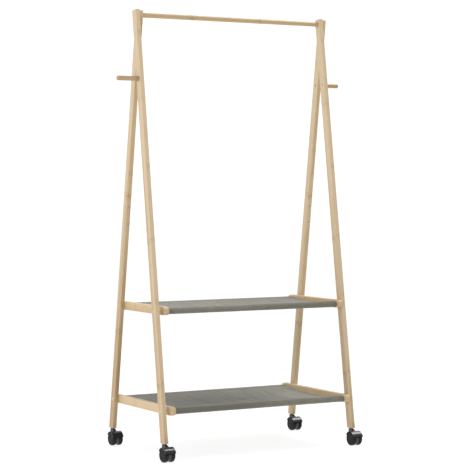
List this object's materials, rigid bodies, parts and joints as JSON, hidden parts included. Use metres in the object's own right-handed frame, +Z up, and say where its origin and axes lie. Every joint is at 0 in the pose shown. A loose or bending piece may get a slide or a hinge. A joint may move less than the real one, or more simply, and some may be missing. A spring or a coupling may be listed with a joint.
{
  "type": "rolling clothes rack",
  "caption": "A-frame bamboo clothes rack with a hanging bar, side pegs, cloth shelves and swivelling twin-wheel casters.",
  "frame": {"origin": "centre of the bounding box on the floor", "axes": "+X along the hanging bar to the right, -Y towards the front, +Z up"},
  "size_m": [0.984, 0.508, 1.6],
  "materials": {
    "bamboo": "laminated bamboo strip, clear satin varnish",
    "bamboo_dowel": "turned bamboo dowel, clear satin varnish",
    "shelf_cloth": "grey woven polyester, hemmed",
    "steel": "zinc plated",
    "insert_brass": "plain",
    "caster_hood": "glossy black moulding",
    "caster_wheel": "matt black nylon"
  },
  "bodies": {
    "root": {"bar_bolts": "steel", "bar_inserts": "insert_brass", "bolt_plugs": "bamboo", "caster_stem_inserts": "insert_brass", "hanging_bar": "bamboo_dowel", "lap_screws": "steel", "left_front_caster_stem": "steel", "left_front_lower_leg": "bamboo", "left_front_upper_leg": "bamboo", "left_peg": "bamboo_dowel", "left_rear_caster_stem": "steel", "left_rear_lower_leg": "bamboo", "left_rear_upper_leg": "bamboo", "lower_shelf_bolts": "steel", "lower_shelf_cloth": "shelf_cloth", "lower_shelf_front_rod": "bamboo_dowel", "lower_shelf_inserts": "insert_brass", "lower_shelf_left_rail": "bamboo", "lower_shelf_rear_rod": "bamboo_dowel", "lower_shelf_right_rail": "bamboo", "peg_screws": "steel", "right_front_caster_stem": "steel", "right_front_lower_leg": "bamboo", "right_front_upper_leg": "bamboo", "right_peg": "bamboo_dowel", "right_rear_caster_stem": "steel", "right_rear_lower_leg": "bamboo", "right_rear_upper_leg": "bamboo", "upper_shelf_bolts": "steel", "upper_shelf_cloth": "shelf_cloth", "upper_shelf_front_rod": "bamboo_dowel", "upper_shelf_inserts": "insert_brass", "upper_shelf_left_rail": "bamboo", "upper_shelf_rear_rod": "bamboo_dowel", "upper_shelf_right_rail": "bamboo"},
    "left_front_caster": {"left_front_caster_housing": "caster_hood", "left_front_caster_axle": "steel"},
    "left_front_left_wheel": {"left_front_left_wheel": "caster_wheel"},
    "left_front_right_wheel": {"left_front_right_wheel": "caster_wheel"},
    "left_rear_caster": {"left_rear_caster_housing": "caster_hood", "left_rear_caster_axle": "steel"},
    "left_rear_left_wheel": {"left_rear_left_wheel": "caster_wheel"},
    "left_rear_right_wheel": {"left_rear_right_wheel": "caster_wheel"},
    "right_front_caster": {"right_front_caster_housing": "caster_hood", "right_front_caster_axle": "steel"},
    "right_front_left_wheel": {"right_front_left_wheel": "caster_wheel"},
    "right_front_right_wheel": {"right_front_right_wheel": "caster_wheel"},
    "right_rear_caster": {"right_rear_caster_housing": "caster_hood", "right_rear_caster_axle": "steel"},
    "right_rear_left_wheel": {"right_rear_left_wheel": "caster_wheel"},
    "right_rear_right_wheel": {"right_rear_right_wheel": "caster_wheel"}
  },
  "joints": [
    {"name": "left_front_swivel", "type": "hinge", "parent": "root", "child": "left_front_caster", "pos_m": [-0.4, -0.20561, 0.062], "axis": [0, 0, 1], "continuous": true},
    {"name": "left_front_left_roll", "type": "hinge", "parent": "left_front_caster", "child": "left_front_left_wheel", "pos_m": [-0.4, -0.22761, 0.025], "axis": [1, 0, 0], "continuous": true},
    {"name": "left_front_right_roll", "type": "hinge", "parent": "left_front_caster", "child": "left_front_right_wheel", "pos_m": [-0.4, -0.22761, 0.025], "axis": [1, 0, 0], "continuous": true},
    {"name": "left_rear_swivel", "type": "hinge", "parent": "root", "child": "left_rear_caster", "pos_m": [-0.384, 0.23839, 0.062], "axis": [0, 0, 1], "continuous": true},
    {"name": "left_rear_left_roll", "type": "hinge", "parent": "left_rear_caster", "child": "left_rear_left_wheel", "pos_m": [-0.384, 0.21639, 0.025], "axis": [1, 0, 0], "continuous": true},
    {"name": "left_rear_right_roll", "type": "hinge", "parent": "left_rear_caster", "child": "left_rear_right_wheel", "pos_m": [-0.384, 0.21639, 0.025], "axis": [1, 0, 0], "continuous": true},
    {"name": "right_front_swivel", "type": "hinge", "parent": "root", "child": "right_front_caster", "pos_m": [0.384, -0.20561, 0.062], "axis": [0, 0, 1], "continuous": true},
    {"name": "right_front_left_roll", "type": "hinge", "parent": "right_front_caster", "child": "right_front_left_wheel", "pos_m": [0.384, -0.22761, 0.025], "axis": [1, 0, 0], "continuous": true},
    {"name": "right_front_right_roll", "type": "hinge", "parent": "right_front_caster", "child": "right_front_right_wheel", "pos_m": [0.384, -0.22761, 0.025], "axis": [1, 0, 0], "continuous": true},
    {"name": "right_rear_swivel", "type": "hinge", "parent": "root", "child": "right_rear_caster", "pos_m": [0.4, 0.23839, 0.062], "axis": [0, 0, 1], "continuous": true},
    {"name": "right_rear_left_roll", "type": "hinge", "parent": "right_rear_caster", "child": "right_rear_left_wheel", "pos_m": [0.4, 0.21639, 0.025], "axis": [1, 0, 0], "continuous": true},
    {"name": "right_rear_right_roll", "type": "hinge", "parent": "right_rear_caster", "child": "right_rear_right_wheel", "pos_m": [0.4, 0.21639, 0.025], "axis": [1, 0, 0], "continuous": true}
  ]
}
